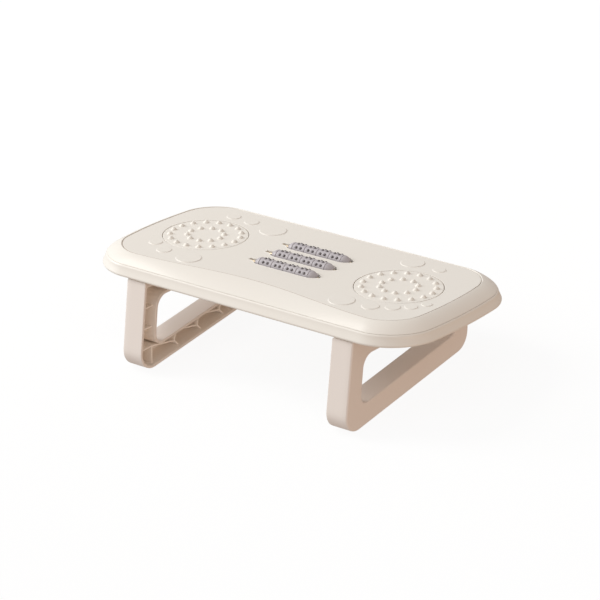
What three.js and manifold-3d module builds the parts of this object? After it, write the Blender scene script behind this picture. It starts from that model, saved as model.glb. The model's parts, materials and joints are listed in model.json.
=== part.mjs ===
// Folding massage footstool: a sloped tray-shaped top with two nubbed massage pads and three
// studded rollers, standing on two loop legs that hinge inwards under the top.
// Millimetres, +Z up, X along the stool, the raised long edge towards -Y.
import * as THREE from 'three';
import { mergeVertices } from 'three/addons/utils/BufferGeometryUtils.js';
import Module from 'manifold-3d';

const wasm = await Module();
wasm.setup();

// ---- driving dimensions -------------------------------------------------------------------
const GAP = 0.3;              // clearance between parts that touch
const LENGTH = 400;           // top, along X
const DEPTH = 200;            // top, along the slope
const SLOPE_DEG = 8.5;        // slope of the top when the stool stands
const CORNER_R = 50;          // plan corner radius of the top
const END_BOW = 8;            // how far the short ends bulge
const WALL_BOTTOM = -20;      // lower edge of the side wall, below the panel surface
const SHOULDER_Z = -8.3;      // parting line between cover and tray
const SHOULDER_IN = 4.5;      // inset of the parting line from the lower edge
const HX = LENGTH / 2;
const HY = DEPTH / 2;
const GROOVE_HX = HX - 18;    // decorative groove round the flat panel, half length
const GROOVE_HY = HY - 17;    // and half depth
const GROOVE_R = 35;
const GROOVE_WAIST = 13;      // the groove bows in along the raised edge
const GROOVE_W = 1.3;
const GROOVE_D = 1.0;
const CROWN_LIP = 0.3;        // crown stands proud of the panel at the groove
const CROWN_STRAIGHT = 0.6;   // share of the crown's fall that is straight, the rest is curved
const SKIN = 3;               // cover thickness
const WALL = 3.2;             // tray wall thickness
const DECK_TOP = -11.5;       // floor plate inside the tray
const DECK_T = 2.5;

const PAD_X = HX - 81;        // massage pad centres
const PAD_Y = 2;
const PAD_R = 43.2;
const PAD_T = 1.9;
const NUB_R = 2.9;
const NUB_H = 2.7;
const NUB_RINGS = [[17, 36.2, 1.5], [10, 18.6, 0.5]];   // count, ring radius, first angle
const RIGHT_PAD_TURN = 5;     // degrees

const ROLLER_Y = [-26.5, 0, 26.5].map((y) => y + PAD_Y);
const ROLLER_X = 4;           // middle of each row of drums
const ROLLER_Z = -2;          // axle height
const DRUMS = 4;
const DRUM_PITCH = 14.9;
const DRUM_R = 6.6;
const STUD_H = 1.0;
const STUD_R = 1.28;
const STUD_ROWS = 8;
const STUD_SPREAD = 2.7;      // studs sit this far either side of the drum's middle
const CONE_L = 7.6;
const AXLE_R = 1.5;
const AXLE_X = [-41, 44.4];
const BORE_R = AXLE_R + 0.1;
const POST_W = 2.2;           // posts on the deck that carry the axle ends

const LEG_OUT = HX - 62;      // outboard face of each leg
const LEG_T = 24;
const LEG_GAP = 0.8;          // between the leg and the tray
const FLANGE = 3;
const WEB = 3;
const RIB = 2;
const RIB_IN = 4.5;           // the legs' ribs lie this far behind the edge of the channel
const PIN_R = 1.5;
const PIN_L = 34;
const PIN_IN = 3;             // pin axis from the leg's inboard face
const PIN_DOWN = 3;           // pin axis below the leg's top face
const LUG_Y = HY - 38;
const LUG_W = 12;
const LUG_R = 4;
const LUG_CLEAR = 1;          // round the lug in the leg's notch
const FOOT_T = 1.8;
const FOOT_SINK = 1.2;
const FOOT_L = 34;
const FOOT_W = 15;

const SCREW_R = 1.4;
const SCREW_HEAD_R = 3.2;

// raised discs round each pad: which pad, x from its centre, y as a share of the panel, radius
const DOTS = [
  [-1, -11, 0.735, 7.4], [-1, 14, 0.71, 7.8], [-1, 47, 0.627, 14], [-1, -26, -0.542, 7.1],
  [-1, -5, -0.687, 7.7], [-1, 29, -0.723, 13], [1, -26, 0.747, 12.1], [1, 6, 0.741, 6.6],
  [1, -22, -0.723, 13], [1, 8.5, -0.675, 8.7], [1, 27, -0.554, 7.4], [1, 40, -0.416, 6.5],
  [1, 48, -0.247, 5.4],
].map(([side, dx, v, r]) => [side * PAD_X + dx, v * GROOVE_HY, r]);
const DOT_H = 0.6;

// ---- solid helpers ------------------------------------------------------------------------
const rad = THREE.MathUtils.degToRad;

function solid(geometry) {
  const g = geometry.clone();
  g.deleteAttribute('normal');
  g.deleteAttribute('uv');
  const m = mergeVertices(g, 1e-4);
  return new wasm.Manifold(new wasm.Mesh({
    numProp: 3,
    vertProperties: new Float32Array(m.attributes.position.array),
    triVerts: new Uint32Array(m.index.array),
  }));
}

function geometryOf(manifold) {
  const mesh = manifold.getMesh();
  const g = new THREE.BufferGeometry();
  g.setAttribute('position', new THREE.BufferAttribute(new Float32Array(mesh.vertProperties), 3));
  g.setIndex(new THREE.BufferAttribute(new Uint32Array(mesh.triVerts), 1));
  const flat = g.toNonIndexed();
  flat.computeVertexNormals();
  return flat;
}

// Closed solid through a stack of loops, each {pts: [[x, y], ...] counter-clockwise, z}.
function loft(loops) {
  const n = loops[0].pts.length;
  const pos = [];
  const idx = [];
  for (const { pts, z } of loops) for (const [x, y] of pts) pos.push(x, y, z);
  for (let l = 0; l + 1 < loops.length; l++) {
    for (let i = 0; i < n; i++) {
      const a = l * n + i, b = l * n + ((i + 1) % n);
      idx.push(a, b, b + n, a, b + n, a + n);
    }
  }
  const cap = (pts, base, up) => {
    const flat = pts.map(([x, y]) => new THREE.Vector2(x, y));
    for (const [a, b, c] of THREE.ShapeUtils.triangulateShape(flat, [])) {
      idx.push(...(up ? [base + a, base + b, base + c] : [base + a, base + c, base + b]));
    }
  };
  cap(loops[0].pts, 0, false);
  cap(loops[loops.length - 1].pts, (loops.length - 1) * n, true);
  const g = new THREE.BufferGeometry();
  g.setAttribute('position', new THREE.Float32BufferAttribute(pos, 3));
  g.setIndex(idx);
  return solid(g);
}

const prism = (pts, z0, z1) => loft([{ pts, z: z0 }, { pts, z: z1 }]);

function box(x0, x1, y0, y1, z0, z1) {
  const g = new THREE.BoxGeometry(x1 - x0, y1 - y0, z1 - z0);
  g.translate((x0 + x1) / 2, (y0 + y1) / 2, (z0 + z1) / 2);
  return solid(g);
}

// Cylinder or frustum from z0 to z1.
function disc(x, y, r0, z0, z1, seg = 24, r1 = r0) {
  const g = new THREE.CylinderGeometry(r1, r0, z1 - z0, seg);
  g.rotateX(Math.PI / 2);
  g.translate(x, y, (z0 + z1) / 2);
  return solid(g);
}

// Cylinder along Y or X.
function bar(axis, r, c, length, seg = 16) {
  const g = new THREE.CylinderGeometry(r, r, length, seg);
  if (axis === 'x') g.rotateZ(-Math.PI / 2);
  g.translate(...c);
  return solid(g);
}

// Profile [[r, z], ...] turned about Z, then laid along X with z pointing along +X.
function turned(profile, seg) {
  const g = new THREE.LatheGeometry(profile.map(([r, z]) => new THREE.Vector2(r, z)), seg);
  g.rotateZ(-Math.PI / 2);
  return solid(g);
}

// ---- plan outlines ------------------------------------------------------------------------
const ARC = 6, LONG = 8, SHORT = 2;

// Rounded rectangle with bulging ends and an optional waist in the -Y side.
function plan(hx, hy, r, waist = 0) {
  const pts = [];
  const corner = (cx, cy, a0) => {
    for (let i = 0; i <= ARC; i++) {
      const a = rad(a0 + (90 * i) / ARC);
      pts.push([cx + r * Math.cos(a), cy + r * Math.sin(a)]);
    }
  };
  const side = (x0, y0, x1, y1, n) => {
    for (let i = 1; i <= n; i++) {
      const t = i / (n + 1);
      pts.push([x0 + (x1 - x0) * t, y0 + (y1 - y0) * t]);
    }
  };
  const ix = hx - r, iy = hy - r;
  side(-ix, -hy, ix, -hy, LONG);
  corner(ix, -iy, -90);
  side(hx, -iy, hx, iy, SHORT);
  corner(ix, iy, 0);
  side(ix, hy, -ix, hy, LONG);
  corner(-ix, iy, 90);
  side(-hx, iy, -hx, -iy, SHORT);
  corner(-ix, -iy, 180);
  return pts.map(([x, y]) => {
    const u = Math.abs(x) / hx, v = Math.abs(y) / hy;
    const w = 0.5 + 0.5 * Math.cos(Math.PI * Math.min(1, u / 0.85));
    return [x - Math.sign(x) * END_BOW * v * v * u, y + (y < 0 ? waist * w * v : 0)];
  });
}

const rim = (inset) => plan(LENGTH / 2 - inset, DEPTH / 2 - inset, Math.max(CORNER_R - inset, 4));
const groove = (inset) =>
  plan(GROOVE_HX - inset, GROOVE_HY - inset, GROOVE_R - inset, GROOVE_WAIST);
const blend = (p, q, t) => p.map(([x, y], i) => [x + (q[i][0] - x) * t, y + (q[i][1] - y) * t]);

// ---- cover: flat panel, groove and crowned rim --------------------------------------------
function rollerOpening(y) {
  const half = DRUM_R + STUD_H + 0.5;
  const drum = (DRUMS * DRUM_PITCH) / 2 + 0.6;
  const tip = drum + CONE_L + 0.4;
  const slot = AXLE_R + 0.35;
  const c = ROLLER_X;
  return [
    [AXLE_X[0] - 0.4, y - slot], [c - tip, y - slot], [c - tip + 3, y - slot - 2.6],
    [c - drum, y - half], [c + drum, y - half], [c + tip - 3, y - slot - 2.6],
    [c + tip, y - slot], [AXLE_X[1] + 0.4, y - slot], [AXLE_X[1] + 0.4, y + slot],
    [c + tip, y + slot], [c + tip - 3, y + slot + 2.6], [c + drum, y + half],
    [c - drum, y + half], [c - tip + 3, y + slot + 2.6], [c - tip, y + slot],
    [AXLE_X[0] - 0.4, y + slot],
  ];
}

const RIBS_X = [-0.375, -0.22, -0.075, 0.075, 0.22, 0.375].map((u) => u * LENGTH);
const RIBS_Y = [-0.26, 0, 0.26].map((v) => v * DEPTH);
const SCREWS = [-1, 1].flatMap((s) => [
  [s * (HX - 24), RIBS_Y[0] + 12], [s * (HX - 24), RIBS_Y[2] - 12],
  [s * 62, 20 - HY], [s * 62, HY - 20],
]);

function cover() {
  const shoulder = rim(SHOULDER_IN);
  const loops = [{ pts: shoulder, z: SHOULDER_Z }];
  const rise = CROWN_LIP - SHOULDER_Z;
  for (const t of [0.06, 0.2, 0.38, 0.6, 0.82, 1]) {
    const fall = CROWN_STRAIGHT * (1 - t) + (1 - CROWN_STRAIGHT) * (1 - t) ** 2;
    loops.push({ pts: blend(shoulder, groove(0), t), z: CROWN_LIP - rise * fall });
  }
  loops.push({ pts: groove(0.2), z: -GROOVE_D }, { pts: groove(GROOVE_W - 0.2), z: -GROOVE_D },
    { pts: groove(GROOVE_W), z: 0 });
  let body = loft(loops);
  const inner = rim(SHOULDER_IN + SKIN);
  body = body.subtract(loft([
    { pts: inner, z: SHOULDER_Z - 1 }, { pts: inner, z: SHOULDER_Z + 0.2 },
    { pts: blend(inner, groove(2), 0.35), z: -SKIN - 2.4 },
    { pts: blend(inner, groove(2), 0.9), z: -SKIN },
  ]));
  for (const s of [-1, 1]) body = body.add(disc(s * PAD_X, PAD_Y, PAD_R + 3, -5, -2.5, 28));
  for (const [x, y] of SCREWS) body = body.add(disc(x, y, 4, DECK_TOP + GAP, -2.5, 10));
  for (const [x, y, r] of DOTS) {
    body = body.add(disc(x, y, r, -0.5, DOT_H, r > 10 ? 20 : 14, r - 0.5));
  }
  for (const s of [-1, 1]) {
    body = body.subtract(disc(s * PAD_X, PAD_Y, PAD_R + 0.5, -PAD_T - GAP, 2, 40));
  }
  for (const y of ROLLER_Y) body = body.subtract(prism(rollerOpening(y), -8, 4));
  for (const [x, y] of SCREWS) {
    body = body.subtract(disc(x, y, SCREW_R + 0.15, DECK_TOP - 2, -4.6, 8));
  }
  return body;
}

// ---- tray: side wall, deck, ribs, hinge lugs and axle posts ------------------------------
const PIN_X = LEG_OUT - LEG_T + PIN_IN;
const LEG_TOP = WALL_BOTTOM - LEG_GAP;
const PIN_Z = LEG_TOP - PIN_DOWN;

function tray() {
  const top = SHOULDER_Z - GAP;
  let body = loft([
    { pts: rim(1.4), z: WALL_BOTTOM }, { pts: rim(0.3), z: WALL_BOTTOM + 0.8 },
    { pts: rim(0), z: WALL_BOTTOM + 2 }, { pts: rim(SHOULDER_IN - 0.6), z: top - 1 },
    { pts: rim(SHOULDER_IN), z: top },
  ]);
  const inner = rim(SHOULDER_IN + WALL);
  body = body.subtract(prism(inner, DECK_TOP, top + 2));
  body = body.subtract(loft([
    { pts: rim(1.4 + WALL - 0.8), z: WALL_BOTTOM - 1 }, { pts: inner, z: DECK_TOP - DECK_T },
  ]));
  const deck = DECK_TOP - DECK_T + 0.5;
  const keep = prism(rim(SHOULDER_IN + 1), WALL_BOTTOM + 0.5, deck);
  let ribs = null;
  const addRib = (b) => { ribs = ribs ? ribs.add(b) : b; };
  for (const x of RIBS_X) {
    addRib(box(x - 1, x + 1, -HY, HY, WALL_BOTTOM + 0.5, deck));
  }
  for (const y of RIBS_Y) {
    addRib(box(-HX, HX, y - 1, y + 1, WALL_BOTTOM + 0.5, deck));
  }
  body = body.add(ribs.intersect(keep));
  for (const s of [-1, 1]) {
    for (const t of [-1, 1]) {
      const y0 = t * LUG_Y - LUG_W / 2, y1 = t * LUG_Y + LUG_W / 2;
      body = body.add(box(s * PIN_X - LUG_R, s * PIN_X + LUG_R, y0, y1, PIN_Z, deck));
      body = body.add(bar('y', LUG_R, [s * PIN_X, t * LUG_Y, PIN_Z], LUG_W, 24));
      body = body.subtract(bar('y', PIN_R + 0.1, [s * PIN_X, t * LUG_Y, PIN_Z], LUG_W + 2));
    }
  }
  for (const y of ROLLER_Y) {
    for (const x of [AXLE_X[0] + 2.5, AXLE_X[1] - POST_W / 2]) {
      body = body.add(box(x - POST_W / 2, x + POST_W / 2, y - 4, y + 4, DECK_TOP - 1,
        ROLLER_Z - AXLE_R - GAP));
    }
  }
  for (const [x, y] of SCREWS) {
    body = body.subtract(disc(x, y, SCREW_R + 0.6, DECK_TOP - DECK_T - 1, DECK_TOP + 1, 8));
  }
  return body;
}

// ---- massage pad --------------------------------------------------------------------------
function pad() {
  let body = disc(0, 0, PAD_R, -PAD_T, 0, 40);
  const g = new THREE.LatheGeometry([[0, -0.5], [NUB_R + 0.3, -0.5],
    [0.68 * NUB_R, 0.76 * NUB_H], [0, NUB_H]].map(([r, z]) => new THREE.Vector2(r, z)), 7);
  g.rotateX(Math.PI / 2);
  const nub = solid(g);
  for (const [count, radius, first] of NUB_RINGS) {
    for (let i = 0; i < count; i++) {
      const a = rad(first + (360 * i) / count);
      body = body.add(nub.translate([radius * Math.cos(a), radius * Math.sin(a), 0]));
    }
  }
  return body;
}

// ---- roller pieces, along X, centred on the axle -----------------------------------------
function drum() {
  const h = DRUM_PITCH / 2 - GAP / 2;
  const r = DRUM_R;
  const first = 49;           // angle of the first row of studs, each on a flat of the drum
  let body = turned([[BORE_R, -h], [r, -h], [r, h], [BORE_R, h], [BORE_R, -h]], 16)
    .rotate([first - 33.75, 0, 0]);
  for (let k = 0; k < STUD_ROWS; k++) {
    for (const dx of [-STUD_SPREAD, STUD_SPREAD]) {
      const g = new THREE.CylinderGeometry(STUD_R * 0.65, STUD_R, STUD_H + 1, 5);
      g.translate(0, r + (STUD_H - 1) / 2, 0);
      g.translate(dx, 0, 0);
      g.rotateX(rad(first + (360 * k) / STUD_ROWS - 90));
      body = body.add(solid(g));
    }
  }
  return body;
}

function cone() {
  const r = DRUM_R;
  return turned([[BORE_R, 0], [r, 0], [r * 0.93, 2.4], [r * 0.72, 5], [r * 0.36, CONE_L],
    [BORE_R, CONE_L], [BORE_R, 0]], 16);
}

// ---- leg: a channel-section loop in a plane across the stool ------------------------------
const SLOPE = Math.tan(rad(SLOPE_DEG));

// Polygon with rounded corners: [[y, z, r], ...] counter-clockwise.
function rounded(corners, seg = 5) {
  const pts = [];
  const n = corners.length;
  corners.forEach(([y, z, r], i) => {
    const p = new THREE.Vector2(y, z);
    const a = new THREE.Vector2(...corners[(i + n - 1) % n]).sub(p).normalize();
    const b = new THREE.Vector2(...corners[(i + 1) % n]).sub(p).normalize();
    const half = Math.acos(a.dot(b)) / 2;
    const c = a.clone().add(b).normalize().multiplyScalar(r / Math.sin(half)).add(p);
    const t0 = a.clone().multiplyScalar(r / Math.tan(half)).add(p).sub(c);
    const t1 = b.clone().multiplyScalar(r / Math.tan(half)).add(p).sub(c);
    const a0 = Math.atan2(t0.y, t0.x);
    const sweep = THREE.MathUtils.euclideanModulo(Math.atan2(t1.y, t1.x) - a0, 2 * Math.PI);
    for (let k = 0; k <= seg; k++) {
      const w = a0 + (sweep * k) / seg;
      pts.push([c.x + r * Math.cos(w), c.y + r * Math.sin(w)]);
    }
  });
  return pts;
}

const SOLE_Z0 = -100.1;       // height of the sole line where y = 0
const STRUT_H = 22.3;         // height of the strut along the sole
const HOLE_TOP = LEG_TOP - 19.7;
const soleZ = (y) => SOLE_Z0 + SLOPE * y;
const loopOuter = (d) => rounded([
  [-HY - 9.4 + d, soleZ(-HY - 9.4) + d, Math.max(18 - d, 2)],
  [HY - 5.8 - d, soleZ(HY - 5.8) + d, 19 - d],
  [HY - 3 - d, LEG_TOP - d, 2.5], [2.4 - HY + d, LEG_TOP - d, 2.5],
]);
const loopHole = (d) => rounded([
  [15.8 - HY - d, soleZ(15.8 - HY) + STRUT_H - d * 1.1, 9 + d],
  [HY - 27 + d, soleZ(HY - 27) + STRUT_H - d, 8 + d],
  [HY - 26 + d, HOLE_TOP + d, 8 + d], [21.6 - HY - d, HOLE_TOP + d, 14 + d],
]);

// The loop is drawn in (y, z); a prism in its plane is turned so that its axis lies along X.
function plate(pts, x0, x1) {
  const m = prism(pts, x0, x1);
  return m.rotate([90, 0, 0]).rotate([0, 0, 90]);
}

function ribSpans() {
  const spans = [];
  for (const z of [-28.5, -50, -71.5, -93.5]) spans.push([-HY - 12, z, 22 - HY, z]);
  for (const z of [-50, -66]) spans.push([HY - 30, z, HY, z]);
  for (const y of [-34, 0, 34]) spans.push([y, LEG_TOP, y, HOLE_TOP - 1.5]);
  const joint = (y) => soleZ(y) + 9.6;
  const under = (y) => soleZ(y) + STRUT_H - 2;
  const bay = (DEPTH - 56) / 4;
  for (let k = 1; k <= 4; k++) {
    const y = bay * k + 14 - HY;
    spans.push([y - bay + 2, under(y - bay + 2), y, joint(y)], [y, joint(y), y + 3, under(y + 3)],
      [y, joint(y), y + 7.5, soleZ(y + 7.5) + 1]);
  }
  spans.push([15 - HY, soleZ(15 - HY), 15 - HY, -93.5]);
  return spans;
}

// Right leg; the left one is its mirror image.
function leg() {
  const x1 = LEG_OUT, x0 = LEG_OUT - LEG_T;
  let body = plate(loopOuter(0), x0, x1).subtract(plate(loopHole(0), x0 - 1, x1 + 1));
  const ring = plate(loopOuter(FLANGE), x0 - 1, x1 - WEB)
    .subtract(plate(loopHole(FLANGE), x0 - 2, x1));
  body = body.subtract(ring);
  let ribs = null;
  for (const [ya, za, yb, zb] of ribSpans()) {
    const len = Math.hypot(yb - ya, zb - za) + 0.7;
    const g = new THREE.BoxGeometry(LEG_T - WEB - RIB_IN + 0.5, len, RIB);
    g.rotateX(Math.atan2(zb - za, yb - ya));
    g.translate((x0 + RIB_IN + x1 - WEB + 0.5) / 2, (ya + yb) / 2, (za + zb) / 2);
    const r = solid(g);
    ribs = ribs ? ribs.add(r) : r;
  }
  const infill = plate(loopOuter(1), x0 + 0.5, x1 - 1)
    .subtract(plate(loopHole(1), x0, x1));
  body = body.add(ribs.intersect(infill));
  const bossZ = PIN_Z - LUG_R - LUG_CLEAR;
  for (const t of [-1, 1]) {
    const y = t * LUG_Y;
    body = body.add(box(x0, x1 - 1, y - 16, y + 16, bossZ - 2.5, LEG_TOP));
    body = body.subtract(box(x0 - 1, PIN_X + LUG_R + LUG_CLEAR, y - LUG_W / 2 - 0.5, y + LUG_W / 2 + 0.5,
      bossZ, LEG_TOP + 1));
    body = body.subtract(bar('y', PIN_R + 0.05, [PIN_X, y, PIN_Z], 40));
  }
  const edge = box(x0 - 1, PIN_X, -DEPTH, DEPTH, PIN_Z, LEG_TOP + 1)
    .subtract(bar('y', PIN_DOWN, [PIN_X, 0, PIN_Z], 2 * DEPTH, 32));
  body = body.subtract(edge);
  for (const y of FOOT_Y) body = body.subtract(footBlock(y, 0.25, FOOT_SINK, 2));
  return body;
}

const FOOT_Y = [42 - HY, HY - 50];

// Block lying on the sole line: grow widens it, up and down are its reach from the sole.
function footBlock(y, grow, up, down) {
  const g = new THREE.BoxGeometry(FOOT_W + 2 * grow, FOOT_L + 2 * grow, up + down);
  g.translate(0, 0, (up - down) / 2);
  g.rotateX(rad(SLOPE_DEG));
  g.translate(LEG_OUT - LEG_T / 2, y, soleZ(y));
  return solid(g);
}

const foot = (y) => footBlock(y, 0, FOOT_SINK - GAP, FOOT_T - FOOT_SINK + GAP);

// ---- assembly -----------------------------------------------------------------------------
const material = (color, roughness, metalness = 0) =>
  new THREE.MeshStandardMaterial({ color, roughness, metalness });
const CREAM = ['#e6dfd6', 0.45];
const LEG_CREAM = ['#e2d8cf', 0.5];
const GREY = ['#a9a3a6', 0.55];
const STEEL = ['#b9b2a8', 0.35, 0.9];
const RUBBER = ['#8a7f76', 0.9];

const stool = new THREE.Group();
stool.name = 'stool';
const sloped = new THREE.Group();
sloped.name = 'sloped';
stool.add(sloped);

function put(name, shape, finish, mirror = false) {
  const mesh = new THREE.Mesh(geometryOf(mirror ? shape.mirror([1, 0, 0]) : shape),
    material(...finish));
  mesh.name = name;
  sloped.add(mesh);
  return mesh;
}

put('cover', cover(), CREAM);
put('tray', tray(), CREAM);
const padShape = pad();
const padL = put('pad_left', padShape, CREAM);
padL.position.set(-PAD_X, PAD_Y, 0);
const padR = put('pad_right', padShape, CREAM);
padR.position.set(PAD_X, PAD_Y, 0);
padR.rotation.z = rad(RIGHT_PAD_TURN);

const drumShape = drum();
const coneShape = cone();
const ROW_NAMES = ['front', 'middle', 'rear'];
ROLLER_Y.forEach((y, row) => {
  const name = ROW_NAMES[row];
  const mid = (AXLE_X[0] + AXLE_X[1]) / 2;
  const axle = put(`axle_${name}`, bar('x', AXLE_R, [0, 0, 0], AXLE_X[1] - AXLE_X[0]), STEEL);
  axle.position.set(mid, y, ROLLER_Z);
  for (let i = 0; i < DRUMS; i++) {
    const d = put(`drum_${name}_${i + 1}`, drumShape, GREY);
    d.position.set(ROLLER_X + (i - (DRUMS - 1) / 2) * DRUM_PITCH, y, ROLLER_Z);
  }
  const end = (DRUMS * DRUM_PITCH) / 2 + GAP / 2;
  const right = put(`cone_${name}_right`, coneShape, GREY);
  right.position.set(ROLLER_X + end, y, ROLLER_Z);
  const left = put(`cone_${name}_left`, coneShape, GREY, true);
  left.position.set(ROLLER_X - end, y, ROLLER_Z);
});

const legShape = leg();
const pinShape = bar('y', PIN_R, [0, 0, 0], PIN_L);
for (const [side, s] of [['left', -1], ['right', 1]]) {
  put(`leg_${side}`, legShape, LEG_CREAM, s < 0);
  for (const [end, t] of [['front', -1], ['rear', 1]]) {
    const pin = put(`pin_${side}_${end}`, pinShape, STEEL);
    pin.position.set(s * PIN_X, t * LUG_Y, PIN_Z);
    put(`foot_${side}_${end}`, foot(FOOT_Y[t < 0 ? 0 : 1]), RUBBER, s < 0);
  }
}

SCREWS.forEach(([x, y], i) => {
  const under = DECK_TOP - DECK_T - GAP;
  const screw = disc(0, 0, SCREW_R, -1, 6.8, 8)
    .add(disc(0, 0, SCREW_HEAD_R - 0.6, -2.2, 0, 8, SCREW_HEAD_R));
  put(`screw_${i + 1}`, screw, STEEL).position.set(x, y, under);
});

// The stool stands on its feet, so the top slopes down towards +Y.
sloped.rotation.x = -rad(SLOPE_DEG);
const drop = FOOT_T - FOOT_SINK + GAP;
sloped.position.z = -(SOLE_Z0 * Math.cos(rad(SLOPE_DEG))) + drop;
stool.updateMatrixWorld(true);
const extent = new THREE.Box3().setFromObject(stool, true);
sloped.position.y = -(extent.min.y + extent.max.y) / 2;

export default stool;
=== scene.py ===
import json
import bmesh
import bpy
import numpy as np
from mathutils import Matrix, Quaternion, Vector
from mathutils.geometry import delaunay_2d_cdt


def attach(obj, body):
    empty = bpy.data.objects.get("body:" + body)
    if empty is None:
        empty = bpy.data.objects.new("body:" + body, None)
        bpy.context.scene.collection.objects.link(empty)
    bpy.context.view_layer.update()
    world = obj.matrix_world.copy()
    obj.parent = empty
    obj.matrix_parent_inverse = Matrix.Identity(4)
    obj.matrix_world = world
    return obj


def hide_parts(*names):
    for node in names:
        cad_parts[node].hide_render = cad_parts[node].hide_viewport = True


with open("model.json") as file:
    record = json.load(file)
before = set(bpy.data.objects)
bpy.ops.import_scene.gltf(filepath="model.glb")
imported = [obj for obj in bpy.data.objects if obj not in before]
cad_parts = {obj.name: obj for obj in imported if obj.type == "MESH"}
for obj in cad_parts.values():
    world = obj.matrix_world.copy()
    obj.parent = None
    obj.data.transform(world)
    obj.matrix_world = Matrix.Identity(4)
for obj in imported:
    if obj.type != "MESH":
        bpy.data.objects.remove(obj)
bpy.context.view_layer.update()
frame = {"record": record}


# ---- Floor, light and camera --------------------------------------------------------------
# The stool stands on a plain white paper floor. A key lamp hangs high on the left, a wider fill
# lamp lower on the same side, and a warm card throws light back from low on the right. The room
# lights the rest: bright and cool from above on the left, dim and warm from below on the right.
def linear(colour):
    """A colour written as #rrggbb in screen values, as the linear values that shaders use."""
    s = np.array([int(colour[i:i + 2], 16) for i in (1, 3, 5)]) / 255
    return (*np.where(s <= 0.04045, s / 12.92, ((s + 0.055) / 1.055) ** 2.4).tolist(), 1.0)


def add(tree, kind, sockets=(), **settings):
    """Adds one shader node. sockets gives an input's name or number a value, or the output that
    feeds it."""
    made = tree.nodes.new("ShaderNode" + kind)
    for name, value in settings.items():
        setattr(made, name, value)
    for key, value in dict(sockets).items():
        if isinstance(value, bpy.types.NodeSocket):
            tree.links.new(value, made.inputs[key])
        else:
            made.inputs[key].default_value = value
    return made


view = bpy.context.scene.view_settings
view.view_transform, view.look = "Standard", "None"

lens_aim = Vector((0.00358, 0.0035, 0.06074))
lens_turn, lens_rise, lens_roll = np.radians([39.813, 28.056, -5.813]).tolist()
lens_reach = 2.5598
lens_back = Vector((np.sin(lens_turn) * np.cos(lens_rise), -np.cos(lens_turn) * np.cos(lens_rise),
                    np.sin(lens_rise)))
camera = bpy.data.objects.new("camera", bpy.data.cameras.new("camera"))
camera.data.sensor_width, camera.data.lens = 36.0, 156.155
camera.data.clip_end = 50.0
camera.location = lens_aim + lens_back * lens_reach
camera.rotation_mode = "QUATERNION"
camera.rotation_quaternion = lens_back.to_track_quat("Z", "Y") @ Quaternion((0, 0, 1), lens_roll)
bpy.context.collection.objects.link(camera)
bpy.context.scene.camera = camera

lamp_reach = 4.0
for name, size, energy, colour, toward_lamp in [
        ("key_lamp", 1.3, 44.0, (1.0, 0.985, 0.96), (-0.60, -0.18, 0.82)),
        ("fill_lamp", 1.6, 64.0, (0.985, 0.995, 1.0), (-0.86, -0.26, 0.46)),
        ("warm_card", 2.0, 27.0, (1.0, 0.79, 0.65), (0.88, -0.32, 0.04))]:
    lamp = bpy.data.objects.new(name, bpy.data.lights.new(name, "AREA"))
    lamp.data.shape, lamp.data.size = "DISK", size
    lamp.data.energy, lamp.data.color = energy, colour
    away = Vector(toward_lamp).normalized()
    lamp.location = away * lamp_reach
    lamp.rotation_mode = "QUATERNION"
    lamp.rotation_quaternion = away.to_track_quat("Z", "Y")
    bpy.context.collection.objects.link(lamp)

# The room's light falls from one tone to the next with the angle from its brightest side.
room_light = bpy.data.worlds.new("room")
bpy.context.scene.world = room_light
room_light.use_nodes = True
sky = room_light.node_tree
sky.nodes.clear()
dim_side = tuple(Vector((0.72, 0.30, -0.62)).normalized())
toward = add(sky, "VectorMath", {0: add(sky, "TexCoord").outputs["Generated"], 1: dim_side},
             operation="DOT_PRODUCT")
dimness = add(sky, "MapRange", {"Value": toward.outputs["Value"],
                                "From Min": -1.0, "From Max": 1.0})
tones = add(sky, "ValToRGB", {0: dimness.outputs[0]})
stops = tones.color_ramp.elements
stops[0].color, stops[1].color = (0.76, 0.78, 0.79, 1), (0.38, 0.28, 0.21, 1)
stops.new(0.40).color = (0.56, 0.54, 0.53, 1)
stops.new(0.72).color = (0.50, 0.41, 0.35, 1)
sky_light = add(sky, "Background", {"Color": tones.outputs[0], "Strength": 1.0})
add(sky, "OutputWorld", {"Surface": sky_light.outputs[0]})

# Matt white paper with fibres about a millimetre across. Most of its light is its own, so it
# stays white and takes only a faint shadow, and it throws nothing back on the stool.
paper = bpy.data.materials.new("white_paper")
paper.use_nodes = True
sheet = paper.node_tree
sheet.nodes.clear()
fibre = add(sheet, "TexNoise", {"Vector": add(sheet, "TexCoord").outputs["Object"], "Scale": 900.0})
nap = add(sheet, "Bump", {"Height": fibre.outputs[0], "Distance": 0.00002})
matt = add(sheet, "BsdfDiffuse", {"Color": linear("#656565"), "Roughness": 1.0,
                                  "Normal": nap.outputs[0]})
lit = add(sheet, "Emission", {"Color": linear("#ffffff"), "Strength": 0.90})
both = add(sheet, "AddShader", {0: matt.outputs[0], 1: lit.outputs[0]})
add(sheet, "OutputMaterial", {"Surface": both.outputs[0]})
floor_mesh = bpy.data.meshes.new("floor")
floor_mesh.from_pydata([(-6, -6, 0), (6, -6, 0), (6, 6, 0), (-6, 6, 0)], [], [(0, 1, 2, 3)])
floor_mesh.materials.append(paper)
floor = bpy.data.objects.new("floor", floor_mesh)
floor.visible_diffuse = floor.visible_glossy = floor.visible_shadow = False
bpy.context.collection.objects.link(floor)


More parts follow.
